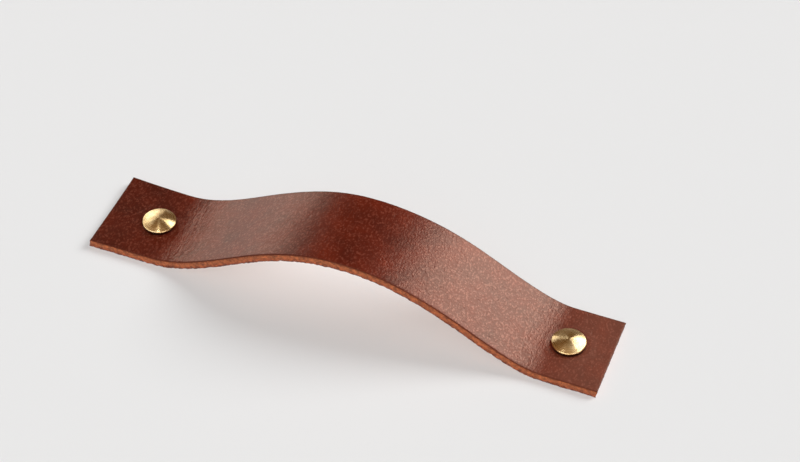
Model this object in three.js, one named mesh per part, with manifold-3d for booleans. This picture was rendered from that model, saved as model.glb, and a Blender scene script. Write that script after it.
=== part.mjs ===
// Leather drawer handle: an arched leather strap held at both ends by a turned brass stud.
// Millimetres, +Z up, X along the strap, Y across it. The strap's two flat tabs lie on the
// plane z = 0, which is the face of the drawer, and the origin is the middle of that footprint.
import * as THREE from 'three';
import { mergeVertices } from 'three/addons/utils/BufferGeometryUtils.js';
import Module from 'manifold-3d';

const wasm = await Module();
wasm.setup();

// Strap: cut from one flat piece of hide and bent into an arch.
const holeSpacing = 128;
const leftTab = 15.8;
const rightTab = 13;
const strapWidth = 28;
const leatherThickness = 2.5;
const archClearHeight = 20.8;
const leftBendLead = 0.8;
const rightBendLead = 0.66;
const seatMargin = 0.2;

// Stud: one turned brass piece with a domed head above the leather and a tapped barrel in it.
const tapDrillDiameter = 3.3;
const tapMouthChamfer = 0.35;
const drillPointAngle = 118;
const barrelWall = 0.85;
const barrelChamfer = 0.2;
const barrelSetback = 0.3;
const barrelClearance = 0.1;
const seatLand = 0.8;
const rimOverhang = 1.6;
const rimGap = 0.75;
const rimBand = 0.35;
const rimChamfer = 0.2;
const domeRise = 1.1;
const crownWall = 0.8;

// How finely the curves are drawn.
const bendSteps = 56;
const turnSteps = 64;
const domeSteps = 10;

const barrelRadius = tapDrillDiameter / 2 + barrelWall;
const holeRadius = barrelRadius + barrelClearance;
const seatRadius = holeRadius + seatLand;
const headRadius = seatRadius + rimOverhang;
const strapLength = leftTab + holeSpacing + rightTab;
const leftHoleX = -strapLength / 2 + leftTab;
const rightHoleX = strapLength / 2 - rightTab;
const crownX = (leftHoleX + rightHoleX) / 2;

// Slope of the leather along one half of the arch. It is level at the tab (share 0) and at the
// crown (share 1), and steepest between them: a lead under 1 moves that place towards the tab.
function slopeAt(share, steepest, lead) {
  return steepest * Math.sin(Math.PI * share ** lead);
}

// Walks along one half of the arch for a strap of unit length, and returns its middle line as
// points with their slopes.
function walkHalf(steepest, lead) {
  const step = 1 / bendSteps;
  const line = [{ x: 0, z: 0, slope: 0 }];
  for (let i = 1; i <= bendSteps; i += 1) {
    const middle = slopeAt((i - 0.5) * step, steepest, lead);
    const last = line[i - 1];
    line.push({
      x: last.x + Math.cos(middle) * step,
      z: last.z + Math.sin(middle) * step,
      slope: slopeAt(i * step, steepest, lead),
    });
  }
  return line;
}

// One half of the arch over a given run and rise. The steepest slope is the one unknown, and
// it is found by halving an interval.
function halfArch(run, rise, lead) {
  let low = 0;
  let high = Math.PI / 2;
  for (let i = 0; i < 50; i += 1) {
    const guess = (low + high) / 2;
    const end = walkHalf(guess, lead)[bendSteps];
    if (end.z / end.x > rise / run) {
      high = guess;
    } else {
      low = guess;
    }
  }
  const line = walkHalf(low, lead);
  const size = run / line[bendSteps].x;
  return line.map((p) => ({ x: p.x * size, z: p.z * size, slope: p.slope }));
}

// The strap's middle line from its left end to its right end.
function strapMiddleLine() {
  const seatFlat = seatRadius + seatMargin;
  const base = leatherThickness / 2;
  const leftStart = leftHoleX + seatFlat;
  const rightStart = rightHoleX - seatFlat;
  const rising = halfArch(crownX - leftStart, archClearHeight, leftBendLead);
  const falling = halfArch(rightStart - crownX, archClearHeight, rightBendLead);
  const left = rising.map((p) => ({ x: leftStart + p.x, z: base + p.z, slope: p.slope }));
  const right = falling.map((p) => ({ x: rightStart - p.x, z: base + p.z, slope: -p.slope }));
  right.reverse();
  return [
    { x: -strapLength / 2, z: base, slope: 0 },
    ...left,
    ...right.slice(1),
    { x: strapLength / 2, z: base, slope: 0 },
  ];
}

// A point on a face of the strap, at a distance from the middle line along its normal.
function offsetPoint(p, distance) {
  return new THREE.Vector2(p.x - Math.sin(p.slope) * distance, p.z + Math.cos(p.slope) * distance);
}

// A closed geometry as a solid that can be cut.
function toSolid(geometry) {
  const bare = geometry.clone();
  bare.deleteAttribute('normal');
  bare.deleteAttribute('uv');
  const merged = mergeVertices(bare);
  return new wasm.Manifold(new wasm.Mesh({
    numProp: 3,
    vertProperties: new Float32Array(merged.attributes.position.array),
    triVerts: new Uint32Array(merged.index.array),
  }));
}

// A cut solid as a geometry again.
function toGeometry(solid) {
  const mesh = solid.getMesh();
  const geometry = new THREE.BufferGeometry();
  geometry.setAttribute('position', new THREE.BufferAttribute(mesh.vertProperties, 3));
  geometry.setIndex(new THREE.BufferAttribute(mesh.triVerts, 1));
  geometry.computeVertexNormals();
  return geometry;
}

// The arched strap with one punched hole through each tab.
function strapGeometry() {
  const line = strapMiddleLine();
  const half = leatherThickness / 2;
  const grainSide = line.map((p) => offsetPoint(p, half));
  const fleshSide = line.map((p) => offsetPoint(p, -half));
  const sideView = new THREE.Shape([...fleshSide, ...grainSide.reverse()]);
  const strap = new THREE.ExtrudeGeometry(sideView, { depth: strapWidth, bevelEnabled: false });
  strap.rotateX(Math.PI / 2);
  strap.translate(0, strapWidth / 2, 0);

  let solid = toSolid(strap);
  for (const holeX of [leftHoleX, rightHoleX]) {
    const punch = new THREE.CylinderGeometry(holeRadius, holeRadius, leatherThickness * 2, turnSteps);
    punch.rotateX(Math.PI / 2);
    punch.translate(holeX, 0, half);
    solid = solid.subtract(toSolid(punch));
  }
  return toGeometry(solid);
}

// Points along the stud's domed face, from the chamfer at the rim to the middle.
function domePoints(radius, base) {
  const sphereRadius = (radius ** 2 + domeRise ** 2) / (2 * domeRise);
  const sphereCentre = base + domeRise - sphereRadius;
  const rimAngle = Math.asin(radius / sphereRadius);
  const points = [];
  for (let i = 0; i < domeSteps; i += 1) {
    const angle = rimAngle * (1 - i / domeSteps);
    points.push([sphereRadius * Math.sin(angle), sphereCentre + sphereRadius * Math.cos(angle)]);
  }
  points.push([0, base + domeRise]);
  return points;
}

// The stud, turned about its own axis, with y = 0 where its seat lies on the leather. The
// profile starts at the point of the blind hole and goes round by the barrel and the head.
function studGeometry() {
  const barrelEnd = barrelSetback - leatherThickness;
  const domeRadius = headRadius - rimChamfer;
  const domeBase = rimGap + rimBand + rimChamfer;
  const drillRadius = tapDrillDiameter / 2;
  const drillTip = domeBase + domeRise - crownWall;
  const drillFloor = drillTip - drillRadius / Math.tan(THREE.MathUtils.degToRad(drillPointAngle / 2));
  const outline = [
    [0, drillTip],
    [drillRadius, drillFloor],
    [drillRadius, barrelEnd + tapMouthChamfer],
    [drillRadius + tapMouthChamfer, barrelEnd],
    [barrelRadius - barrelChamfer, barrelEnd],
    [barrelRadius, barrelEnd + barrelChamfer],
    [barrelRadius, 0],
    [seatRadius, 0],
    [headRadius, rimGap],
    [headRadius, rimGap + rimBand],
    ...domePoints(domeRadius, domeBase),
  ];
  const profile = outline.map(([r, y]) => new THREE.Vector2(r, y));
  const stud = new THREE.LatheGeometry(profile, turnSteps);
  stud.rotateX(Math.PI / 2);
  return stud;
}

function leather() {
  return new THREE.MeshStandardMaterial({ color: 0x66342a, roughness: 0.5, metalness: 0 });
}

function brass() {
  return new THREE.MeshStandardMaterial({ color: 0xcfae6a, roughness: 0.28, metalness: 1 });
}

function addMesh(group, name, geometry, material, x, z) {
  const mesh = new THREE.Mesh(geometry, material);
  mesh.name = name;
  mesh.position.set(x, 0, z);
  group.add(mesh);
}

const handle = new THREE.Group();
handle.name = 'leather_handle';
addMesh(handle, 'leather_strap', strapGeometry(), leather(), 0, 0);
addMesh(handle, 'left_stud', studGeometry(), brass(), leftHoleX, leatherThickness);
addMesh(handle, 'right_stud', studGeometry(), brass(), rightHoleX, leatherThickness);

export default handle;
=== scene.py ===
# %% [markdown]
# This lesson dresses a small drawer handle: a leather strap that arches between two brass studs.
# The construction model is finished before the lesson starts. It holds the main sizes, and it stays as it
# is. The steps below read those sizes, then build the leather and the brass again with the fine surface
# that a camera sees: the rounded grain edge, the fibrous cut, the creases in the bends, the turned heads
# and the screw threads. Lengths are worked out in millimetres and turned to metres when a mesh is made.

import math

import bpy
import numpy as np
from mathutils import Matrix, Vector, noise


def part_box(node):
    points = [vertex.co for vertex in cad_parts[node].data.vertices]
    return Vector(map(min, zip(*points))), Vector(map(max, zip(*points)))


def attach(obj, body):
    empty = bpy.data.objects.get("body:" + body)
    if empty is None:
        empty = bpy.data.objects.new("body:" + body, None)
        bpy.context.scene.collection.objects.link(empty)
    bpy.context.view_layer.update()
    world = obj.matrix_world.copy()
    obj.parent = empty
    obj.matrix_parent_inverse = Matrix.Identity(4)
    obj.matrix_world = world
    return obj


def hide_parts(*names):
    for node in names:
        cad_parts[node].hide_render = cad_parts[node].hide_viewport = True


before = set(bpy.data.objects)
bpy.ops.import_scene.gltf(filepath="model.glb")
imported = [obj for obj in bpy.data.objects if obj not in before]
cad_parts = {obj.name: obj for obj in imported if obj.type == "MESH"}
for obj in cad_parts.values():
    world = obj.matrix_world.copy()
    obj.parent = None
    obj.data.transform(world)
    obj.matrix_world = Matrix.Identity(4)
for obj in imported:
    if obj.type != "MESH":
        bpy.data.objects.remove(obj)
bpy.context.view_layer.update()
MM = 0.001
print("nodes:", sorted(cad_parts))


# %% [markdown]
# The construction model is read first. The strap's box gives its length, width and arch height. The flat
# tabs at its ends give the leather's thickness and where the bends start. The studs' boxes give the places
# of the holes and the size of the heads.

# %% Read the sizes of the strap
def corners(node):
    """The lowest and highest corners of a node, in millimetres."""
    low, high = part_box(node)
    return np.array(low) / MM, np.array(high) / MM


strap_points = np.array([v.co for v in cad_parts["leather_strap"].data.vertices]) / MM
strap_low, strap_high = corners("leather_strap")
half_width = (strap_high[1] - strap_low[1]) / 2
at_left_end = strap_points[:, 0] < strap_low[0] + 0.01
thickness = strap_points[at_left_end, 2].max()
arch_rise = strap_high[2] - thickness
print(f"strap {strap_high[0] - strap_low[0]:.1f} x {2 * half_width:.1f} mm, leather {thickness:.2f} mm")

# %% Read the places of the studs
stud_names = ("left_stud", "right_stud")
stud_places = []
for name in stud_names:
    low, high = corners(name)
    stud_places.append(((low[0] + high[0]) / 2, (low[1] + high[1]) / 2))
head_radius = (high[0] - low[0]) / 2
head_top = high[2] - thickness
crown_x = (stud_places[0][0] + stud_places[1][0]) / 2
print("studs at", np.round(stud_places, 2).tolist(), f"head {2 * head_radius:.1f} mm across")

# %% Read where the bends start and end
underside = strap_points[strap_points[:, 2] < 0.001, 0]
bend_start = underside[underside < crown_x].max()
bend_end = underside[underside > crown_x].min()
print(f"the arch runs from x = {bend_start:.1f} to {bend_end:.1f} mm")


# %% [markdown]
# Leather that is pushed together between two screws takes the shape of a wave: level at the screws, level
# at the crown and steepest half way up. The middle of its thickness keeps its length. A list of points
# could describe that line, but a rule is shorter and follows the sizes: the slope is a sine of the share
# of the way, pulled a little towards the screw by a power. The steepest slope is found by halving a range
# until the wave rises to the crown. Thick leather can't start a bend at a point, so the finished line is
# averaged over a few millimetres, which softens both bends and leaves the level parts where they are.

# %% Shape the strap's middle line
left_bend_lead = 0.8        # powers under 1 pull the steepest place towards the screw
right_bend_lead = 0.66
wave_steps = 900


def half_wave(run, rise, lead):
    """The slopes along half of the arch, from its screw to the crown, and the length of each step."""
    share = (np.arange(wave_steps) + 0.5) / wave_steps
    wave = np.sin(math.pi * share ** lead)
    low, high = 0.0, math.pi / 2
    for _ in range(50):
        steepest = (low + high) / 2
        slopes = steepest * wave
        if np.sin(slopes).sum() / np.cos(slopes).sum() < rise / run:
            low = steepest
        else:
            high = steepest
    return slopes, run / np.cos(slopes).sum()


left_slopes, left_step = half_wave(crown_x - bend_start, arch_rise, left_bend_lead)
right_slopes, right_step = half_wave(bend_end - crown_x, arch_rise, right_bend_lead)
left_tab = bend_start - strap_low[0]
right_tab = strap_high[0] - bend_end
slopes = np.concatenate(([0.0], left_slopes, -right_slopes[::-1], [0.0]))
steps = np.concatenate(([left_tab], np.full(wave_steps, left_step),
                        np.full(wave_steps, right_step), [right_tab]))
rule_x = strap_low[0] + np.concatenate(([0.0], np.cumsum(steps * np.cos(slopes))))
rule_z = thickness / 2 + np.concatenate(([0.0], np.cumsum(steps * np.sin(slopes))))
print(f"steepest {math.degrees(left_slopes.max()):.1f} degrees")

# %% Soften the bends
bend_softness = 7.0         # mm over which the line is averaged
line_step = 0.1             # mm between two points of the finished line
line_x = np.arange(rule_x[0], rule_x[-1] + line_step / 2, line_step)
window = np.hanning(round(bend_softness / line_step))
padded = np.pad(np.interp(line_x, rule_x, rule_z), len(window) // 2, mode="edge")
line_z = np.convolve(padded, window / window.sum(), mode="same")[len(window) // 2:][:len(line_x)]
line_slope = np.arctan(np.gradient(line_z, line_x))
line_length = np.concatenate(([0.0], np.cumsum(np.hypot(np.diff(line_x), np.diff(line_z)))))
strap_length = line_length[-1]
print(f"flat length {strap_length:.1f} mm, the line ends at x = {line_x[-1]:.2f}, z = {line_z[-1]:.2f}")

# %% [markdown]
# The strap is a sheet with a grain face, a flesh face and a cut wall between them. It could be a box with
# modifiers, but the two screw holes and the different surfaces ask for a planned mesh. So it is laid out
# flat, as the leather was before it was bent: a grid in two directions, along the strap and across it.
# Each point also has a depth under the grain face. The grid is bent along the middle line at the end.

# %% Plan the grid of the flat sheet
cell = 0.37                 # mm, the side of a cell of the grid
hole_radius = 2.6           # mm, as punched in the construction model
patch_cells = 16            # cells along a side of the square round a hole
patch = patch_cells / 2 * cell
hole_along = [x - strap_low[0] if x < crown_x else strap_length - (strap_high[0] - x)
              for x, _ in stud_places]


def grid_line(stops, counts):
    """Positions from the first stop to the last, with so many equal cells between two stops."""
    pieces = [np.linspace(a, b, n, endpoint=False) for a, b, n in zip(stops, stops[1:], counts)]
    return np.concatenate(pieces + [[stops[-1]]])


def cell_counts(stops):
    """How many cells fit between each two stops."""
    return [max(1, round((b - a) / cell)) for a, b in zip(stops, stops[1:])]


along_stops = [0.0, hole_along[0] - patch, hole_along[0] + patch,
               hole_along[1] - patch, hole_along[1] + patch, strap_length]
across_stops = [-half_width, -patch, patch, half_width]
along_counts = cell_counts(along_stops)
across_counts = cell_counts(across_stops)
columns = sum(along_counts) + 1
rows = sum(across_counts) + 1
print("grid", columns, "x", rows)

# %% [markdown]
# A knife that cuts leather from the grain side presses the finished surface down a little, so the grain
# edge is rounded, while the flesh side stays sharp and sheds fibres. The knife leaned a little, so the cut
# stands out by another tenth of a millimetre near the flesh. The wall between the two faces has a row of
# points at each of a few depths. How far each row stands in from the cut gives the rounding and the lean.

# %% Plan the cut wall
wall_depths = np.array([0.0, 0.03, 0.1, 0.2, 0.32, 0.62, 0.98, 1.34, 1.7, 2.04, 2.28, 2.44, 2.5])
wall_depths = wall_depths * thickness / wall_depths[-1]
wall_insets = np.array([0.34, 0.17, 0.08, 0.03, 0.0, -0.02, -0.03, -0.06, -0.1, -0.13, -0.12, -0.08, 0.02])

vertices = []       # arrays of points: place along, place across and depth
faces = []          # arrays of faces: four point numbers each
face_kinds = []     # which of the three leather surfaces each face belongs to
GRAIN, CUT, FLESH = 0, 1, 2
print("rows of points from the grain to the flesh:", len(wall_depths))


def add_points(points):
    """Adds points to the sheet and returns their numbers."""
    first = sum(len(p) for p in vertices)
    vertices.append(np.asarray(points, float))
    return np.arange(first, first + len(points))


def add_faces(a, b, c, d, kind):
    """Adds four-sided faces from four arrays of point numbers."""
    quads = np.stack([np.ravel(a), np.ravel(b), np.ravel(c), np.ravel(d)], axis=1)
    faces.append(quads)
    face_kinds.append(np.full(len(quads), kind))


# %% Lay out the two faces
def lay_face(inset, depth):
    """The grid of one face, drawn in from the cut by inset."""
    along = along_stops.copy()
    across = across_stops.copy()
    along[0], along[-1] = along[0] + inset, along[-1] - inset
    across[0], across[-1] = across[0] + inset, across[-1] - inset
    u, v = np.meshgrid(grid_line(along, along_counts), grid_line(across, across_counts), indexing="ij")
    flat = np.stack([u.ravel(), v.ravel(), np.full(u.size, depth)], axis=1)
    return add_points(flat).reshape(columns, rows)


grain_grid = lay_face(wall_insets[0], 0.0)
flesh_grid = lay_face(wall_insets[-1], thickness)
solid_cells = np.ones((columns - 1, rows - 1), bool)
patch_corners = []
for side in (0, 1):
    first_column = sum(along_counts[:1 + 2 * side])
    first_row = across_counts[0]
    patch_corners.append((first_column, first_row))
    solid_cells[first_column:first_column + patch_cells, first_row:first_row + patch_cells] = False
i, j = np.nonzero(solid_cells)
add_faces(grain_grid[i, j], grain_grid[i + 1, j], grain_grid[i + 1, j + 1], grain_grid[i, j + 1], GRAIN)
add_faces(flesh_grid[i, j], flesh_grid[i, j + 1], flesh_grid[i + 1, j + 1], flesh_grid[i + 1, j], FLESH)
print("cells on each face:", solid_cells.sum())


# %% [markdown]
# Each screw hole was punched, so it is round, while the grid is square. A square patch of cells is left
# out round the hole. Rings that turn from the square to the circle step by step fill it.

# %% Fit the round holes into the grid
def walk_round(first_column, first_row, last_column, last_row):
    """Grid places along a rectangle's border, anticlockwise from its lowest corner."""
    down = [(c, first_row) for c in range(first_column, last_column)]
    right = [(last_column, r) for r in range(first_row, last_row)]
    up = [(c, last_row) for c in range(last_column, first_column, -1)]
    left = [(first_column, r) for r in range(last_row, first_row, -1)]
    return np.array(down + right + up + left)


ring_shares = (0.4, 0.75, 1.0)      # how far each ring has turned from the square to the circle
punch_rounding = 0.12               # mm that the punch rounds the hole's rims


def ring_to_circle(square, centre, radius, depth, kind):
    """Rings from a square border of points to a circle. Returns the circle's point numbers."""
    flat = np.concatenate(vertices)[square]
    angle = np.arctan2(flat[:, 1], flat[:, 0] - centre)
    circle = np.stack([centre + radius * np.cos(angle), radius * np.sin(angle)], axis=1)
    outer = square
    for share in ring_shares:
        ring = flat[:, :2] * (1 - share) + circle * share
        inner = add_points(np.column_stack([ring, np.full(len(ring), depth)]))
        if kind == GRAIN:
            add_faces(outer, np.roll(outer, -1), np.roll(inner, -1), inner, kind)
        else:
            add_faces(outer, inner, np.roll(inner, -1), np.roll(outer, -1), kind)
        outer = inner
    return outer


for (first_column, first_row), centre in zip(patch_corners, hole_along):
    c, r = walk_round(first_column, first_row, first_column + patch_cells, first_row + patch_cells).T
    rim = ring_to_circle(grain_grid[c, r], centre, hole_radius + punch_rounding, 0.0, GRAIN)
    far_rim = ring_to_circle(flesh_grid[c, r], centre, hole_radius + punch_rounding, thickness, FLESH)
    around = np.concatenate(vertices)[rim, :2] - (centre, 0.0)
    around = around / np.linalg.norm(around, axis=1)[:, None]
    upper = rim
    for depth in np.linspace(punch_rounding, thickness - punch_rounding, 5):
        lower = add_points(np.column_stack([around * hole_radius + (centre, 0.0), np.full(len(rim), depth)]))
        add_faces(upper, np.roll(upper, -1), np.roll(lower, -1), lower, CUT)
        upper = lower
    add_faces(upper, np.roll(upper, -1), np.roll(far_rim, -1), far_rim, CUT)
print("points round each hole:", len(rim))

# %% Build the cut wall round the sheet
c, r = walk_round(0, 0, columns - 1, rows - 1).T
outward = np.stack([(c == columns - 1) * 1.0 - (c == 0), (r == rows - 1) * 1.0 - (r == 0)], axis=1)
edge = np.concatenate(vertices)[grain_grid[c, r], :2] + outward * wall_insets[0]
dyed_rows = 3               # rows of the wall that still have the grain's finish
upper = grain_grid[c, r]
for row in range(1, len(wall_depths)):
    if row == len(wall_depths) - 1:
        lower = flesh_grid[c, r]
    else:
        ring = edge - outward * wall_insets[row]
        lower = add_points(np.column_stack([ring, np.full(len(ring), wall_depths[row])]))
    add_faces(upper, lower, np.roll(lower, -1), np.roll(upper, -1), GRAIN if row <= dyed_rows else CUT)
    upper = lower

flat_points = np.concatenate(vertices)
quads = np.concatenate(faces)
kinds = np.concatenate(face_kinds)
used, renumbered = np.unique(quads, return_inverse=True)
flat_points = flat_points[used]
quads = renumbered.reshape(quads.shape)
print("sheet:", len(flat_points), "points,", 2 * len(quads), "triangles")


# %% [markdown]
# Nothing about a hide is quite even. It swells a little round a screw that presses it, it creases where
# it bends inwards beside the screws, and its surface rolls gently along the arch. Blender's smooth noise
# gives such forms without a picture. Each one is a push along the leather's own upward direction, and is
# kept away from the seat of each stud. The noise fills a space, so forms that shouldn't match are taken
# from different layers of it.

# %% Measure every point of the flat sheet
def hide_noise(along, across, layer):
    """Blender's smooth noise, about -1 to 1, at each of these places."""
    spots = np.stack(np.broadcast_arrays(along, across, layer), axis=1)
    return np.array([noise.noise(spot) for spot in spots.tolist()])


def bell(distance, width):
    """A bell curve: 1 at no distance, and close to 0 from twice the width on."""
    return np.exp(-(distance / width) ** 2)


along, across, depth = flat_points.T
x_middle = np.interp(along, line_length, line_x)
from_stud = np.min([np.hypot(along - place, across) for place in hole_along], axis=0)
arch_lead_in = 12.0         # mm from the start of the arch to where its roll is at full height
arching = np.clip(np.minimum(x_middle - bend_start, bend_end - x_middle) / arch_lead_in, 0, 1)
arching = arching * arching * (3 - 2 * arching)
print(f"nearest point to a stud's axis {from_stud.min():.2f} mm")

# %% Swell the leather round the screws
seat_radius = 3.4
swell_ring = 6.4            # mm from the axis to the top of the swelling
swell_height = 0.07
dent_ring = 4.5             # mm from the axis to the dent beside the seat
dent_depth = 0.05
screw_swell = swell_height * bell(from_stud - swell_ring, 1.3)
screw_swell = screw_swell - dent_depth * bell(from_stud - dent_ring, 0.7)
screw_swell[from_stud < seat_radius] = 0.0
print(f"swelling {screw_swell.max():.3f} mm high, dent {-screw_swell.min():.3f} mm deep")

# %% Crease the bends
left_crease_centre = bend_start + 7.5
right_crease_centre = bend_end - 6.5
right_crease_share = 0.6    # the right bend creases less than the left one
crease_sway = 1.4           # mm that a crease strays from a straight line
crease_gap = 1.5            # mm between two creases
crease_reach = 5.5          # mm that a crease runs on across the strap
crease_depth = 0.04
crease_place = bell(x_middle - left_crease_centre, 5.5)
crease_place = crease_place + right_crease_share * bell(x_middle - right_crease_centre, 6.0)
bending = along + crease_sway * hide_noise(along / 6, across / 7, 4.0)
crease_noise = hide_noise(bending / crease_gap, across / crease_reach, 9.0)
creases = -crease_depth * crease_place * bell(crease_noise, 0.20)
print(f"deepest crease {-creases.min():.3f} mm")

# %% Roll the surface
roll_height = 0.10
fine_roll_height = 0.022
fine_roll_size = 2.6        # mm from one small hump to the next
seat_edge = 3.6             # mm from the axis to where the small humps set in
roll = roll_height * arching * hide_noise(along / 17, across / 13, 2.0)
humps = hide_noise(along / fine_roll_size, across / fine_roll_size, 6.0)
fine_roll = fine_roll_height * humps * np.clip((from_stud - seat_edge) / 2, 0, 1)
grain_share = 1 - depth / thickness
push = roll + grain_share * (screw_swell + creases + fine_roll)
print(f"the surface is pushed by {push.min():.2f} to {push.max():.2f} mm")

# %% [markdown]
# The grain side of a hide is tight and cuts clean. Towards the flesh side its fibres grow loose, so the cut
# gets rougher on its way down and ends in a ragged line. Bunches and single tufts of fibres are two sizes
# of noise that push the points of the cut in and out, more and more with depth. The flesh side has a nap:
# it is pushed up a little everywhere, and up and down along its edge.

# %% Fray the cut and flesh sides
to_side = half_width - np.abs(across)
to_end = np.minimum(along, strap_length - along)
to_cut = np.minimum(to_side, to_end)
wall_reach = wall_insets[0] + 0.01
bunch_size = 0.75           # mm across a bunch of fibres
tuft_size = 1.5             # mm across a tuft that stands out
grain_fray = 0.015          # mm that the cut is rough beside the grain
flesh_fray = 0.14           # mm more of it beside the flesh
fray = hide_noise(along / bunch_size, across / bunch_size, depth / 0.5)
tufts = hide_noise(along / tuft_size, across / tuft_size, 20 + depth / 0.9)
fray_depth = np.interp(depth, wall_depths, grain_fray + flesh_fray * (wall_depths / thickness) ** 2)
ragged = np.where((to_cut < wall_reach) & (depth > 0), fray_depth * (fray + tufts), 0.0)
across = across + np.sign(across) * ragged * (to_side < wall_reach)
along = along + np.sign(along - strap_length / 2) * ragged * (to_end < wall_reach)
print(f"the cut strays by {np.abs(ragged).max():.2f} mm")

# %% Raise the nap of the flesh side
nap_height = 0.06           # mm, all over the flesh side
edge_nap_height = 0.12      # mm more along its edge
nap = hide_noise(along / 0.9, across / 0.9, 31.0) + hide_noise(along / 3, across / 3, 33.0)
torn = nap_height * np.abs(nap) + edge_nap_height * bell(to_cut, 0.7) * nap
depth = depth - torn * (depth / thickness) ** 4
print(f"the nap is up to {torn.max():.2f} mm high")

# %% [markdown]
# The strap was cut by hand from a hide, so its ends aren't quite square, the right one is cut under a
# little, and the strap is wider at the back of its left end, where the corner also lifts off the table.
# These errors are under a millimetre, so they are added here to the dressed strap alone.

# %% Cut the strap by hand and bend it
left_cut_error = 0.14       # mm that a corner of the left end is out of square
right_cut_error = -0.55
right_undercut = 0.7        # mm that the right end is cut under
left_flare = 0.6            # mm that the back left corner stands out
corner_lift = 0.39          # mm that it lifts off the table
flare_start = -50.0         # mm along the handle, where the flare begins

end_share_left = np.clip((stud_places[0][0] - x_middle) / (stud_places[0][0] - strap_low[0]), 0, 1)
end_share_right = np.clip((x_middle - stud_places[1][0]) / (strap_high[0] - stud_places[1][0]), 0, 1)
flare_share = np.clip((flare_start - x_middle) / (flare_start - strap_low[0]), 0, 1) ** 2
back_share = np.clip(across / half_width, 0, 1) ** 2

middle_z = np.interp(along, line_length, line_z, left=line_z[0], right=line_z[-1])
middle_x = np.interp(along, line_length, line_x)
middle_x = middle_x + np.minimum(along, 0) + np.maximum(along - strap_length, 0)
slope = np.interp(along, line_length, line_slope)
height = thickness / 2 - depth + push
bent_x = middle_x - np.sin(slope) * height
bent_y = across + left_flare * flare_share * back_share
bent_z = middle_z + np.cos(slope) * height + corner_lift * flare_share * back_share
bent_x = bent_x + (left_cut_error * end_share_left + right_cut_error * end_share_right) * across / half_width
bent_x = bent_x - right_undercut * end_share_right ** 4 * depth / thickness
bent_z = np.maximum(bent_z, 0.0)
print("strap box", np.round([bent_x.min(), bent_y.min(), bent_z.min()], 2),
      np.round([bent_x.max(), bent_y.max(), bent_z.max()], 2))


# %% Make the strap's mesh
def make_object(name, points, polygons):
    """A smooth mesh object in the scene, from points in millimetres."""
    mesh = bpy.data.meshes.new(name)
    mesh.from_pydata((np.asarray(points) * MM).tolist(), [], [list(p) for p in polygons])
    mesh.validate()
    for polygon in mesh.polygons:
        polygon.use_smooth = True
    made = bpy.data.objects.new(name, mesh)
    bpy.context.scene.collection.objects.link(made)
    return made


strap = make_object("strap_leather", np.column_stack([bent_x, bent_y, bent_z]), quads.tolist())
strap.data.polygons.foreach_set("material_index", kinds)
print("strap:", len(strap.data.polygons), "faces")

# %% [markdown]
# The materials need to know where on the hide each point lies, so the mesh carries that as attributes: its
# place on the flat hide, and how much it belongs to a bend, to the rim of the cut, which gets a painted
# shade, and to the crevice under a stud's head, which gets a painted shadow. Painted weights would do as
# well, but these follow the sizes by themselves.

# %% Write the places on the hide into the mesh
rim_width = 0.3             # mm of the grain beside the cut that gets a painted shade and a duller finish
# Under the rim of each head, and a little past it, the leather gets a painted shadow.
stud_shade_edge = head_radius + 0.25
stud_shade_fade = 0.5          # mm
hide = strap.data.attributes.new("hide", "FLOAT_VECTOR", "POINT")
hide.data.foreach_set("vector", np.column_stack([along, across, depth]).ravel())
under_head = np.clip((stud_shade_edge - from_stud) / stud_shade_fade, 0, 1)
for name, values in (("bend", crease_place), ("rim", bell(to_cut, rim_width)), ("crevice", under_head)):
    attribute = strap.data.attributes.new(name, "FLOAT", "POINT")
    attribute.data.foreach_set("value", values)
print("attributes:", [a.name for a in strap.data.attributes if a.name in ("hide", "bend", "rim", "crevice")])


# %% [markdown]
# Colours are written as the hex values that a paint program shows. Shaders count in linear light, so one
# function turns them over. A second small function adds a node with its settings and its links, and every
# material below is built with it. Most nodes have one result, so a link may name the node alone. Two more
# functions start an empty material and close it with its output.

# %% Helpers for materials
def linear(hex_colour):
    """The linear colour that a shader needs for an sRGB hex value such as "#7A3B20"."""
    channels = [int(hex_colour[at:at + 2], 16) / 255 for at in (1, 3, 5)]
    return [c / 12.92 if c <= 0.04045 else ((c + 0.055) / 1.055) ** 2.4 for c in channels] + [1.0]


def add_node(tree, kind, settings=None, links=None):
    """Adds a node. Settings are its properties, the values of its inputs, the stops of its colour ramp, or
    what it maps "From" and "To". Links join an input to an output, or to a node's first output in use."""
    node = tree.nodes.new("ShaderNode" + kind)
    for key, value in (settings or {}).items():
        if key == "stops":
            elements = node.color_ramp.elements
            for element, (position, colour) in zip(elements, (value[0], value[-1])):
                element.position = position
                element.color = colour
            for position, colour in value[1:-1]:
                elements.new(position).color = colour
        elif key in ("From", "To"):
            node.inputs[key + " Min"].default_value = value[0]
            node.inputs[key + " Max"].default_value = value[1]
        elif isinstance(key, str) and hasattr(node, key):
            setattr(node, key, value)
        else:
            node.inputs[key].default_value = value
    for key, source in (links or {}).items():
        if isinstance(source, bpy.types.Node):
            source = next(output for output in source.outputs if output.enabled)
        tree.links.new(source, node.inputs[key])
    return node


def new_material(name):
    """An empty node material, and its tree."""
    material = bpy.data.materials.new(name)
    material.use_nodes = True
    material.node_tree.nodes.clear()
    return material, material.node_tree


def finish_material(tree, shader):
    """Joins the shader to the material's output."""
    add_node(tree, "OutputMaterial", links={"Surface": shader})


print("#7A3B20 in linear light:", np.round(linear("#7A3B20"), 3).tolist())


# %% [markdown]
# The grain face is full-grain cowhide, dyed through with a clear red-brown and finished with a thin wax.
# The leather's look changes from place to place: it creases in the bends, whose folds get a painted
# highlight, its grain gets a painted shade along the cut and a painted shadow under the studs, its right end
# has been handled more than the rest and gets a painted sheen, and the dye lies in clouds. All of these are
# worked out once from the mesh's attributes, and both the relief and the colour below use them.

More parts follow.
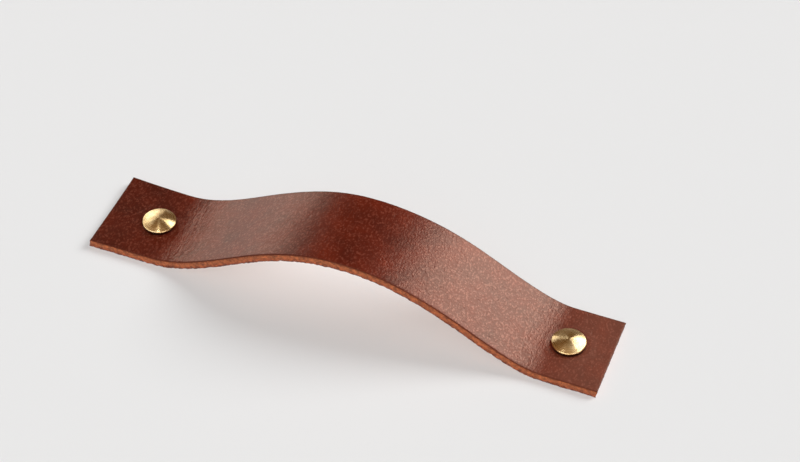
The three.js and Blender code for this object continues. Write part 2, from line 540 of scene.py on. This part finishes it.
# %% Read the hide
PEBBLE = 0.6        # mm between two pebbles of the grain, drawn coarse enough to show
CLOUD = 9.0         # mm from one cloud of dye to the next
SPOT = 0.9          # mm, the size of the spots where the grain stands fuller or flatter
WEAR_AND_SHEEN_START = 26.0   # mm from the right end, where the handled part and its painted sheen start
WEAR_AND_SHEEN_FULL = 8.0     # mm from the right end, where the wear and the painted sheen are full


def read_hide(tree):
    """What the leather is like at each point, as nodes and outputs of nodes."""
    hide = {name: add_node(tree, "Attribute", {"attribute_name": name}).outputs["Fac"]
            for name in ("bend", "rim", "crevice")}
    place = add_node(tree, "Attribute", {"attribute_name": "hide"}).outputs["Vector"]
    drawn_out = add_node(tree, "VectorMath", {"operation": "MULTIPLY", 1: (1.0, 0.72, 1.0)}, {0: place})
    along = add_node(tree, "SeparateXYZ", links={"Vector": place}).outputs["X"]
    wear = add_node(tree, "MapRange",
                    {"interpolation_type": "SMOOTHSTEP",
                     "From": (strap_length - WEAR_AND_SHEEN_START, strap_length - WEAR_AND_SHEEN_FULL)}, {"Value": along})
    clouds = add_node(tree, "TexNoise", {"Scale": 1 / CLOUD, "Detail": 3.0, "Roughness": 0.55},
                      {"Vector": place})
    spots = add_node(tree, "TexNoise", {"Scale": 1 / SPOT, "Detail": 2.0, "Roughness": 0.6},
                     {"Vector": drawn_out})
    fullness = add_node(tree, "MapRange", {"From": (0.40, 0.60), "To": (0.0, 2.0)}, {"Value": spots})
    hide.update(place=place, drawn_out=drawn_out, along=along, wear=wear, cloud=clouds, fullness=fullness)
    return hide


# %% [markdown]
# The relief of the grain is a net of fine valleys between small pebbles. Real pebbles are about 0.4 mm
# wide, which is close to one pixel of this picture, so they are drawn 0.6 mm wide, and a little longer
# across the strap than along it. Soft wrinkles break up the net, hair pores are pits in it, and the bends
# squeeze up extra folds, whose backs are also painted pale, as a highlight. The relief is too fine for the
# mesh, so a bump node tilts the surface instead.

# %% Press the grain into the leather
PORE = 2.3          # mm between two hair pores
FOLD = 1.6          # mm between the folds in the bends


def press_grain(tree, hide):
    """The bumped normal of the leather, and how high each point stands between valley and crest, with the
    backs of the folds raised as a painted highlight.
    """
    warp = add_node(tree, "TexNoise", {"Scale": 0.8, "Detail": 2.0}, {"Vector": hide["place"]})
    shift = add_node(tree, "VectorMath", {"operation": "SCALE", "Scale": 0.9}, {0: warp.outputs["Color"]})
    warped = add_node(tree, "VectorMath", {"operation": "ADD"}, {0: hide["drawn_out"], 1: shift})
    pebbles = add_node(tree, "TexVoronoi",
                       {"feature": "SMOOTH_F1", "Scale": 1 / PEBBLE, "Smoothness": 0.3, "Randomness": 0.95},
                       {"Vector": warped})
    wrinkles = add_node(tree, "TexNoise", {"Scale": 1 / PEBBLE, "Detail": 3.0, "Roughness": 0.6},
                        {"Vector": hide["drawn_out"]})
    soft_wrinkles = add_node(tree, "Math", {"operation": "MULTIPLY", 1: 1.1}, {0: wrinkles})
    grain = add_node(tree, "Math", {"operation": "SUBTRACT"}, {0: soft_wrinkles, 1: pebbles})
    crest = add_node(tree, "MapRange", {"From": (0.0, 0.42)}, {"Value": grain})
    looseness = add_node(tree, "MapRange", {"From": (0.35, 0.65), "To": (0.75, 1.35)},
                         {"Value": hide["cloud"]})
    pressed = add_node(tree, "Math", {"operation": "MULTIPLY_ADD", 1: 0.6}, {0: hide["bend"], 2: looseness})
    wear_and_edge_shade = add_node(tree, "Math", {"operation": "MULTIPLY_ADD", 1: -0.7}, {0: hide["wear"], 2: pressed})
    relief = add_node(tree, "Math", {"operation": "MULTIPLY"}, {0: grain, 1: wear_and_edge_shade})
    pores = add_node(tree, "TexVoronoi", {"Scale": 1 / PORE}, {"Vector": warped})
    pits = add_node(tree, "MapRange", {"From": (0.05, 0.20), "To": (-1.0, 0.0)}, {"Value": pores})
    pitted = add_node(tree, "Math", {"operation": "ADD"}, {0: relief, 1: pits})
    long_way = add_node(tree, "VectorMath", {"operation": "MULTIPLY", 1: (1.0, 0.2, 1.0)},
                        {0: hide["place"]})
    folds = add_node(tree, "TexNoise", {"Scale": 1 / FOLD, "Detail": 2.0, "Distortion": 0.5},
                     {"Vector": long_way})
    from_fold = add_node(tree, "Math", {"operation": "SUBTRACT", 1: 0.5}, {0: folds})
    off_fold = add_node(tree, "Math", {"operation": "ABSOLUTE"}, {0: from_fold})
    fold_line = add_node(tree, "MapRange", {"From": (0.0, 0.07), "To": (1.6, 0.0)}, {"Value": off_fold})
    ridge = add_node(tree, "Math", {"operation": "MULTIPLY"}, {0: fold_line, 1: hide["bend"]})
    height = add_node(tree, "Math", {"operation": "ADD"}, {0: ridge, 1: pitted})
    bump = add_node(tree, "Bump", {"Strength": 0.165, "Distance": 0.22 * MM}, {"Height": height})
    # The backs of the folds are added to the crests, so the dye paints them pale: a painted highlight.
    pit_and_ridge = add_node(tree, "Math", {"operation": "MULTIPLY_ADD", 1: 0.33}, {0: ridge, 2: pits})
    crest_and_fold_highlight = add_node(tree, "Math", {"operation": "MULTIPLY_ADD", "use_clamp": True},
                          {0: crest, 1: hide["fullness"], 2: pit_and_ridge})
    return bump, crest_and_fold_highlight


# %% [markdown]
# The leather is darker towards its left end, and towards its right end the dye is mixed with a paler brown,
# as a painted sheen. The dye is rubbed thin on the crests, where some of the pale fibre shows through, and
# it has gathered in the valleys and the pits. That keeps the colour alive at close range. The backs of the
# folds in the bends count as crests and come out pale, as a painted highlight. The grain stands open on the
# right slope, so more of its crests are pale there, and the handled end is smooth. The grain beside the cut
# gets a painted shade, and under the rims of the studs the leather gets a painted black shadow.

# %% Dye the leather
DARKEST_UNTIL = 8.0    # mm from the left end, up to which the leather is at its darkest
DARKENING_END = 34.0     # mm from the left end, where it has the colour of the rest
OPEN_START = 66.0   # mm from the right end, where the grain begins to stand open
OPEN_FULL = 46.0    # mm from the right end, from which it stands open


def dye_leather(tree, hide, crest):
    """The colour of the leather's grain face."""
    dye = add_node(tree, "ValToRGB", {"stops": [(0.32, linear("#491107")), (0.70, linear("#641B09"))]},
                   {"Fac": hide["cloud"]})
    # Towards the right end the dye is mixed with a paler brown: a painted sheen.
    sheen_share = add_node(tree, "Math", {"operation": "MULTIPLY", 1: 0.20}, {0: hide["wear"]})
    with_painted_sheen = add_node(tree, "Mix", {"data_type": "RGBA", 7: linear("#9C6650")}, {0: sheen_share, 6: dye})
    # The colour is darker towards the left end.
    left_darkening = add_node(tree, "MapRange",
                    {"interpolation_type": "SMOOTHSTEP", "From": (DARKEST_UNTIL, DARKENING_END), "To": (0.66, 1.0)},
                    {"Value": hide["along"]})
    darkened_at_left = add_node(tree, "VectorMath", {"operation": "SCALE"}, {0: with_painted_sheen, "Scale": left_darkening})
    openness = add_node(tree, "MapRange",
                        {"interpolation_type": "SMOOTHSTEP",
                         "From": (strap_length - OPEN_START, strap_length - OPEN_FULL), "To": (1.0, 1.3)},
                        {"Value": hide["along"]})
    open_grain = add_node(tree, "Math", {"operation": "MULTIPLY_ADD", 1: -0.5},
                          {0: hide["wear"], 2: openness})
    pale_crest = add_node(tree, "VectorMath", {"operation": "SCALE", 0: linear("#4F2F25")[:3]},
                          {"Scale": open_grain})
    dyed = add_node(tree, "Mix", {"data_type": "RGBA", "blend_type": "ADD"},
                    {0: crest, 6: darkened_at_left, 7: pale_crest})
    # Beside the cut the grain is mixed with a dark brown: a painted shade along the edge.
    wear_and_edge_shade = add_node(tree, "Mix", {"data_type": "RGBA", 7: linear("#4C2015")}, {0: hide["rim"], 6: dyed})
    # Under the rims of the studs the colour goes to near-black: a painted shadow.
    return add_node(tree, "Mix", {"data_type": "RGBA", 7: linear("#200A06")},
                    {0: hide["crevice"], 6: wear_and_edge_shade})


# %% [markdown]
# The wax gives the eye a soft, wide sheen that greys the colour on slopes towards the light and leaves it
# deep where no light is mirrored. It lies thin on the crests, which are polished, and thicker and duller in
# the valleys. On the handled end it has gone dull all over. Light that wax and dye mirror comes back warm,
# so the mirrored light has a tint.

# %% Wax the leather
def waxed_leather():
    material, tree = new_material("waxed_full_grain_leather")
    hide = read_hide(tree)
    normal, crest = press_grain(tree, hide)
    colour = dye_leather(tree, hide, crest)
    open_rough = add_node(tree, "MapRange", {"To": (0.37, 0.30)}, {"Value": crest})
    worn_rough = add_node(tree, "Mix", {"data_type": "FLOAT", 3: 0.41}, {0: hide["wear"], 2: open_rough})
    rough = add_node(tree, "Mix", {"data_type": "FLOAT", 3: 0.6}, {0: hide["rim"], 2: worn_rough})
    shader = add_node(tree, "BsdfPrincipled", {"IOR": 1.5, "Specular Tint": linear("#FFD8BC")},
                      {"Base Color": colour, "Roughness": rough, "Normal": normal})
    finish_material(tree, shader)
    return material


# %% [markdown]
# The cut shows the inside of the hide: undyed, vegetable-tanned fibres in a bright orange brown. They lie
# along the strap near the grain and grow looser towards the flesh, so the cut looks streaky above and
# ragged below. The dye has soaked in from the grain side by a fraction of a millimetre, which draws the
# dark line along the top of the cut. There is no wax here, so it scatters light and has no gloss.

# %% Raw cut leather
DYE_DEPTH = 0.34     # mm that the dye has soaked in
FIBRE = 0.16         # mm across a bundle of fibres
TATTER = 0.8         # mm from one loose tuft to the next
CLUMPS_PER_MM = 1.1  # patches where the fibres lie closer and darker


def raw_cut_leather():
    material, tree = new_material("raw_cut_leather")
    place = add_node(tree, "Attribute", {"attribute_name": "hide"}).outputs["Vector"]
    stretched = add_node(tree, "VectorMath", {"operation": "MULTIPLY", 1: (0.35, 0.35, 1.0)}, {0: place})
    fibres = add_node(tree, "TexNoise",
                      {"Scale": 1 / (3 * FIBRE), "Detail": 5.0, "Roughness": 0.7, "Distortion": 0.6},
                      {"Vector": stretched})
    clumps = add_node(tree, "TexNoise", {"Scale": CLUMPS_PER_MM, "Detail": 3.0}, {"Vector": place})
    parts = add_node(tree, "SeparateXYZ", links={"Vector": place})
    tatters = add_node(tree, "TexNoise", {"Scale": 1 / TATTER, "Detail": 3.0, "Roughness": 0.7},
                       {"Vector": place})
    tattered = add_node(tree, "MapRange", {"From": (0.3, 0.7), "To": (-0.7, 0.7)}, {"Value": tatters})
    ragged_depth = add_node(tree, "Math", {"operation": "ADD"}, {0: parts.outputs["Z"], 1: tattered})
    layer = add_node(tree, "MapRange", {"From": (0.0, thickness)}, {"Value": ragged_depth})
    colours = [(DYE_DEPTH / thickness, linear("#844120")), (0.30, linear("#A55A30")),
               (0.72, linear("#994D2B")), (1.0, linear("#602B1B"))]
    layers = add_node(tree, "ValToRGB", {"stops": colours}, {"Fac": layer})
    streaks = add_node(tree, "MapRange", {"From": (0.30, 0.70), "To": (0.5, 1.35)}, {"Value": fibres})
    patches = add_node(tree, "MapRange", {"From": (0.33, 0.67), "To": (0.66, 1.26)}, {"Value": clumps})
    shade = add_node(tree, "Math", {"operation": "MULTIPLY"}, {0: streaks, 1: patches})
    colour = add_node(tree, "VectorMath", {"operation": "SCALE"}, {0: layers, "Scale": shade})
    bump = add_node(tree, "Bump", {"Strength": 0.8, "Distance": 0.15 * MM}, {"Height": fibres})
    shader = add_node(tree, "BsdfPrincipled",
                      {"Roughness": 0.9, "IOR": 1.45, "Specular IOR Level": 0.15, "Sheen Weight": 0.15,
                       "Sheen Roughness": 0.6}, {"Base Color": colour, "Normal": bump})
    finish_material(tree, shader)
    return material


# %% [markdown]
# The underside is the flesh side: the same raw fibres, but seen flat on, split and brushed. It looks like
# coarse suede, lighter than the cut, with short fibres lying in all directions and a slight nap that
# lights up at a glancing angle.

# %% Split flesh side
NAP = 0.5            # mm, the length of the fibres that lie on the flesh side
SUEDE_CLOUD = 6.0    # mm from one light patch to the next


def split_suede():
    material, tree = new_material("split_flesh_side_suede")
    place = add_node(tree, "Attribute", {"attribute_name": "hide"}).outputs["Vector"]
    fibres = add_node(tree, "TexNoise",
                      {"Scale": 1 / NAP, "Detail": 6.0, "Roughness": 0.75, "Distortion": 1.5},
                      {"Vector": place})
    clouds = add_node(tree, "TexNoise", {"Scale": 1 / SUEDE_CLOUD, "Detail": 3.0}, {"Vector": place})
    tone = add_node(tree, "ValToRGB", {"stops": [(0.30, linear("#84502F")), (0.70, linear("#BD7F53"))]},
                    {"Fac": fibres})
    shade = add_node(tree, "MapRange", {"From": (0.3, 0.7), "To": (0.86, 1.1)}, {"Value": clouds})
    colour = add_node(tree, "VectorMath", {"operation": "SCALE"}, {0: tone, "Scale": shade})
    bump = add_node(tree, "Bump", {"Strength": 0.9, "Distance": 0.2 * MM}, {"Height": fibres})
    shader = add_node(tree, "BsdfPrincipled",
                      {"Roughness": 0.95, "IOR": 1.45, "Specular IOR Level": 0.1, "Sheen Weight": 0.3,
                       "Sheen Roughness": 0.5}, {"Base Color": colour, "Normal": bump})
    finish_material(tree, shader)
    return material


for material in (waxed_leather(), raw_cut_leather(), split_suede()):
    strap.data.materials.append(material)
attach(strap, "root")
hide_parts("leather_strap")
print("strap materials:", [m.name for m in strap.data.materials])


# %% [markdown]
# Each stud is turned from a brass bar on a lathe: a wide, slightly domed head with a thin rim, a flat ring
# that seats on the leather, and a barrel that goes down the hole. The barrel has a blind hole with an M4
# thread for the screw that comes through the drawer front. A lathe gives the same section all round, so
# the mesh is that section turned about the axis. Only the thread isn't round: its radius also climbs with
# the angle, so each point's radius is worked out from its height and its angle.

# %% Draw the stud's section
barrel_radius = 2.5                     # mm, and heights in mm from the leather's surface
barrel_end = -2.2
rim_low, rim_high = 0.75, 1.1
rim_round, rim_under_round = 0.3, 0.1
dome_radius, dome_base = 4.8, 1.3
drill_radius = 1.65
drill_floor, drill_tip = 0.609, 1.6
thread_mouth = 0.4                      # mm that a countersink opens the mouth of the hole
around_steps = 128


def arc(centre, radius, start, end, steps):
    """Points of a round stretch of the section, as (radius from the axis, height)."""
    angles = np.radians(np.linspace(start, end, steps))
    return [(centre[0] + radius * math.cos(a), centre[1] + radius * math.sin(a)) for a in angles]


def outer_section():
    """From the centre of the dome, over the rim, down the seat and barrel to the mouth of the thread."""
    dome_height = head_top - dome_base
    sphere = (dome_radius ** 2 + dome_height ** 2) / (2 * dome_height)
    lowest = math.asin(dome_radius / sphere)
    section = [(sphere * math.sin(a), head_top - sphere * (1 - math.cos(a)))
               for a in np.linspace(0.004, lowest * 0.975, 30)]
    section += arc((head_radius - rim_round, rim_high - 0.06), rim_round, 68, 0, 9)
    section += arc((head_radius - rim_under_round, rim_low + 0.12), rim_under_round, 0, -60, 5)
    section += [(seat_radius + 0.35, 0.12), (seat_radius + 0.1, 0.02), (seat_radius, 0.0)]
    section += [(barrel_radius + 0.2, 0.0), (barrel_radius + 0.05, -0.03), (barrel_radius, -0.12)]
    section += [(barrel_radius, barrel_end + 0.2), (barrel_radius - 0.06, barrel_end + 0.06)]
    section += [(barrel_radius - 0.2, barrel_end), (drill_radius + thread_mouth, barrel_end)]
    return section


print("points in the section:", len(outer_section()))


# %% Turn the stud and cut its thread
THREAD_PITCH = 0.7      # mm, as the M4 thread has
THREAD_DEPTH = 0.33
thread_runout = 0.25    # mm of plain hole above the thread
rings_per_turn = 9


def thread_groove(height, angle):
    """How far the thread cuts outwards at this height and angle: flat crests, flat roots, 60 degrees."""
    turn = (height / THREAD_PITCH - angle / (2 * math.pi)) % 1.0
    ramp = np.clip(4 * np.minimum(turn, 1 - turn) - 0.5, 0, 1)
    fade = np.clip((drill_floor - thread_runout - height) / THREAD_PITCH, 0, 1)
    return THREAD_DEPTH * ramp * fade


def turn_stud(name, place):
    """A stud as one closed mesh, with its axis at this place."""
    angles = np.linspace(0, 2 * math.pi, around_steps, endpoint=False)
    rings = outer_section()
    for height in np.arange(barrel_end + 0.05, drill_floor, THREAD_PITCH / rings_per_turn):
        radius = drill_radius + thread_groove(height, angles)
        rings.append((np.maximum(radius, drill_radius + thread_mouth - (height - barrel_end)), height))
    rings += [(drill_radius, drill_floor), (0.05, drill_tip - 0.03)]
    points = []
    for radius, height in rings:
        ring = np.column_stack([place[0] + radius * np.cos(angles), place[1] + radius * np.sin(angles),
                                np.full(around_steps, thickness + height)])
        points += ring.tolist()
    polygons = []
    for ring in range(len(rings) - 1):
        for step in range(around_steps):
            after = (step + 1) % around_steps
            a, b = ring * around_steps + step, ring * around_steps + after
            polygons.append((a, a + around_steps, b + around_steps, b))
    top = len(points)
    points.append([place[0], place[1], thickness + head_top])
    points.append([place[0], place[1], thickness + drill_tip])
    last = (len(rings) - 1) * around_steps
    for step in range(around_steps):
        after = (step + 1) % around_steps
        polygons.append((top, step, after))
        polygons.append((top + 1, last + after, last + step))
    return make_object(name, points, polygons)


studs = []
for name, place in zip(stud_names, stud_places):
    stud = turn_stud(name.replace("stud", "brass_stud"), place)
    stud.data.set_sharp_from_angle(angle=math.radians(38))
    studs.append(stud)
print("each stud:", len(studs[0].data.polygons), "faces")

# %% [markdown]
# Brass is a yellow alloy of copper and zinc. The lathe's tool left fine grooves that run round the head,
# so a lamp isn't mirrored as a spot: it is drawn out across the grooves into two bright wedges that meet
# at the centre. The shader's anisotropy does this, with its direction turned from the way round to the
# way out. The grooves are 0.05 mm apart on the real head. Here they are drawn 0.3 mm apart, and faint.

# %% Turned brass
GROOVE = 0.3         # mm between two turning grooves, drawn coarser than they are
STAIN = 2.0          # mm from one faint stain to the next


def turned_brass(name, place):
    material, tree = new_material(name)
    where = add_node(tree, "NewGeometry").outputs["Position"]      # in metres
    centred = add_node(tree, "VectorMath", {"operation": "SUBTRACT", 1: (place[0] * MM, place[1] * MM, 0.0)},
                       {0: where})
    flat = add_node(tree, "VectorMath", {"operation": "MULTIPLY", 1: (1 / MM, 1 / MM, 0.0)}, {0: centred})
    radius = add_node(tree, "VectorMath", {"operation": "LENGTH"}, {0: flat})
    grooves = add_node(tree, "TexNoise",
                       {"noise_dimensions": "1D", "Scale": 1 / GROOVE, "Detail": 4.0, "Roughness": 0.7},
                       {"W": radius})
    bump = add_node(tree, "Bump", {"Strength": 0.25, "Distance": 0.02 * MM}, {"Height": grooves})
    stains = add_node(tree, "TexNoise", {"Scale": 1 / (STAIN * MM), "Detail": 3.0}, {"Vector": where})
    tone = add_node(tree, "ValToRGB", {"stops": [(0.3, linear("#E0BF84")), (0.7, linear("#F2DAA8"))]},
                    {"Fac": stains})
    tangent = add_node(tree, "Tangent", {"direction_type": "RADIAL", "axis": "Z"})
    rough = add_node(tree, "MapRange", {"From": (0.3, 0.7), "To": (0.26, 0.30)}, {"Value": grooves})
    shader = add_node(tree, "BsdfPrincipled",
                      {"Metallic": 1.0, "Anisotropic": 0.88, "Anisotropic Rotation": 0.25},
                      {"Base Color": tone, "Roughness": rough, "Normal": bump, "Tangent": tangent})
    finish_material(tree, shader)
    return material


for stud, name, place in zip(studs, stud_names, stud_places):
    stud.data.materials.append(turned_brass("turned_brass_" + name.split("_")[0], place))
    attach(stud, "root")
    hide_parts(name)
print("brass:", [stud.data.materials[0].name for stud in studs])

# %% [markdown]
# The handle lies on a floor of pale grey paper that reaches far past the picture on every side. It is one
# large square, because only its colour and the shadow on it show.

# %% Pale floor
PAPER_GREY = "#E8E8E8"
floor_half = 40000.0        # mm from the middle of the floor to its edges
floor = make_object("floor", [(-floor_half, -floor_half, 0), (floor_half, -floor_half, 0),
                              (floor_half, floor_half, 0), (-floor_half, floor_half, 0)], [(0, 1, 2, 3)])
card, card_tree = new_material("pale_grey_paper")
finish_material(card_tree, add_node(card_tree, "BsdfPrincipled",
                                    {"Base Color": linear(PAPER_GREY), "Roughness": 1.0,
                                     "Specular IOR Level": 0.0}))
floor.data.materials.append(card)
print("floor:", 2 * floor_half * MM, "m wide")

# %% [markdown]
# The camera stands in front of the handle, a little to its right, and looks down on it at 45 degrees with
# a long lens. Its place is written as two angles and a distance from the point that it looks at.

# %% Camera
camera_turn = math.radians(22.187)
camera_height = math.radians(45.018)
camera_distance = 808.24
camera_target = Vector((3.318, 26.099, 0.0))
focal_length = 123.15


def direction(turn, height):
    """The unit vector towards a place at this turn from the front and this height, in radians."""
    return Vector((math.sin(turn) * math.cos(height), -math.cos(turn) * math.cos(height), math.sin(height)))


def aim(thing, place, target):
    """Puts a camera or lamp at a place in millimetres and turns it to look at the target."""
    thing.location = Vector(place) * MM
    thing.rotation_euler = (Vector(target) - Vector(place)).to_track_quat("-Z", "Y").to_euler()


camera_data = bpy.data.cameras.new("camera")
camera_data.lens = focal_length
camera_data.sensor_width = 36.0
camera_data.sensor_fit = "HORIZONTAL"
camera = bpy.data.objects.new("camera", camera_data)
bpy.context.scene.collection.objects.link(camera)
aim(camera, camera_target + camera_distance * direction(camera_turn, camera_height), camera_target)
bpy.context.scene.camera = camera
print("camera at", np.round(camera.location, 3).tolist())

# %% [markdown]
# The light is plain and soft. A wide key lamp, low at the back right, throws the only shadow that shows.
# A wider and stronger one at the front right fills it, as white walls would. Light linking lets the strap's
# shadow out of the second one, so that no second shadow falls behind the handle. Both lamps are suns, so
# they light every part alike. A sun would be a hard disc in the gloss, so the suns are hidden from it. The
# gloss gets soft boxes of its own, which give no shade: two of them light the leather's slopes. Places and
# angles are in millimetres and degrees here, and the sizes of the boxes in metres.

# %% Suns and soft boxes
def add_lamp(name, kind, strength, place, target=(0.0, 0.0, 0.0), **settings):
    """A lamp at a place, in millimetres, that looks at the target."""
    data = bpy.data.lights.new(name, kind)
    data.energy = strength
    for setting, value in settings.items():
        setattr(data, setting, value)
    lamp = bpy.data.objects.new(name, data)
    bpy.context.scene.collection.objects.link(lamp)
    aim(lamp, place, target)
    return lamp


def light_only(lamp, thing):
    """Links a soft box to one object, so that it lights nothing else."""
    lamp.light_linking.receiver_collection = bpy.data.collections.new(lamp.name + "_lights")
    lamp.light_linking.receiver_collection.objects.link(thing)
    lamp.visible_diffuse = False
    lamp.visible_camera = False


LAMP_DISTANCE = 500.0       # mm, of the suns and of the small boxes below
# Each sun's name, turn from the front, height, width and strength
for name, turn, height, width, strength in (("key_sun", 134, 35.5, 33, 1.90),
                                            ("front_sun", 19, 42, 60, 2.95)):
    place = LAMP_DISTANCE * direction(math.radians(turn), math.radians(height))
    sun = add_lamp(name, "SUN", strength, place, angle=math.radians(width))
    sun.visible_glossy = False
front = bpy.data.objects["front_sun"]
front.light_linking.blocker_collection = bpy.data.collections.new("studs_that_shade")
for stud in studs:
    front.light_linking.blocker_collection.objects.link(stud)
# Each soft box's name, strength, place, two sizes and colour
for name, strength, place, width, depth, tint in (
        ("right_soft_box", 2.12, (232.0, 344.0, 280.0), 0.27, 0.31, "#FFFFFF"),
        ("left_soft_box", 0.56, (-440.0, 346.0, 140.0), 0.26, 0.18, "#FFE7DA")):
    box = add_lamp(name, "AREA", strength, place, shape="RECTANGLE", size=width, size_y=depth,
                   color=linear(tint)[:3])
    light_only(box, strap)
print("lamps on the leather:", [lamp.name for lamp in bpy.data.lights])

# %% [markdown]
# Each turned head shows a few bright wedges, like the hours of a clock. The wedge at an hour mirrors what
# stands where the camera would be seen in a mirror that leans out towards that hour. So each wedge gets a
# small soft box of its own, placed by that rule: the direction to the camera, mirrored in the normal of
# the leaning dome. Each box is linked to its stud, so that it leaves no haze on the leather. An hour is
# counted as in the picture, and 12 points away from the camera. The rims lean much further than the domes,
# so a row of low boxes draws the light line along their front. Each row below holds the hour, the lean of
# the dome in degrees, the strength of the box in watts and its size in metres.

# %% Boxes for the wedges of the brass
left_wedges = [(8.6, 17, 0.20, 0.18), (9.7, 17, 0.20, 0.18), (10.6, 17, 0.18, 0.18), (11.6, 13, 0.11, 0.15),
               (3.85, 22, 0.52, 0.19), (6.0, 34, 0.42, 0.06), (7.6, 18, 0.03, 0.10)]
right_wedges = [(2.85, 18, 0.42, 0.17), (3.6, 19, 0.60, 0.20), (4.5, 20, 0.50, 0.17), (5.3, 22, 0.05, 0.10),
                (5.9, 20, 0.03, 0.12), (6.8, 36, 0.16, 0.05), (9.3, 31, 0.36, 0.20)]
left_wedges += [(hour, 56, 0.62, 0.26) for hour in (4.6, 5.3, 6.0, 6.7, 7.4, 8.0)]
right_wedges += [(hour, 56, 0.62, 0.26) for hour in (4.9, 5.6, 6.3, 7.0)]

for stud, place, wedges in zip(studs, stud_places, (left_wedges, right_wedges)):
    apex = Vector((place[0], place[1], thickness + head_top))
    to_camera = (camera.location / MM - apex).normalized()
    for hour, lean, strength, size in wedges:
        normal = direction(camera_turn + math.radians(30 * (6 - hour)), math.radians(90 - lean))
        to_box = 2 * normal.dot(to_camera) * normal - to_camera
        box = add_lamp(f"{stud.name}_box_{hour:04.1f}_{lean}", "AREA", strength,
                       apex + LAMP_DISTANCE * to_box, target=apex, shape="RECTANGLE", size=size, size_y=size)
        light_only(box, stud)
print("lamps:", len(bpy.data.lights))

# %% [markdown]
# The room shows in the gloss. It is dark and warm at the back and pale at the front, where it helps the low
# boxes to draw the light line along the rims of the studs. All round, the pale paper sweeps up to three
# degrees above the horizon, so a low view has no dark band behind the handle. The Light Path node tells the
# rays that shade things from the rays that are mirrored, so the room is dim for the first kind and leaves
# the shade to the two suns.

# %% Room light
SWEEP_FULL = 0.03           # sine of the height, about 2 degrees, up to which the paper hides the walls
SWEEP_END = 0.055           # sine of the height, about 3 degrees, where the paper ends
world = bpy.data.worlds.new("studio_room")
bpy.context.scene.world = world
world.use_nodes = True
room = world.node_tree
room.nodes.clear()
towards = add_node(room, "TexCoord")
parts = add_node(room, "SeparateXYZ", links={"Vector": towards.outputs["Generated"]})
nearness = add_node(room, "MapRange", {"From": (0.3, -0.9)}, {"Value": parts.outputs["Y"]})
wall_colours = [(0.0, (0.12, 0.060, 0.020, 1.0)), (0.62, (0.44, 0.26, 0.14, 1.0)),
                (1.0, (1.0, 1.0, 1.0, 1.0))]
walls = add_node(room, "ValToRGB", {"stops": wall_colours}, {"Fac": nearness})
walls.color_ramp.interpolation = "EASE"
rays = add_node(room, "LightPath")
dimming = add_node(room, "MapRange", {"To": (1.0, 0.08)}, {"Value": rays.outputs["Is Diffuse Ray"]})
sweep = add_node(room, "MapRange", {"From": (SWEEP_FULL, SWEEP_END), "To": (1.0, 0.0)},
                 {"Value": parts.outputs["Z"]})
backdrop = add_node(room, "Mix", {"data_type": "RGBA", 7: linear(PAPER_GREY)}, {0: sweep, 6: walls})
background = add_node(room, "Background", links={"Color": backdrop, "Strength": dimming})
add_node(room, "OutputWorld", links={"Surface": background})
print("room:", len(room.nodes), "nodes")

# %% Picture settings
bpy.context.scene.view_settings.view_transform = "Standard"
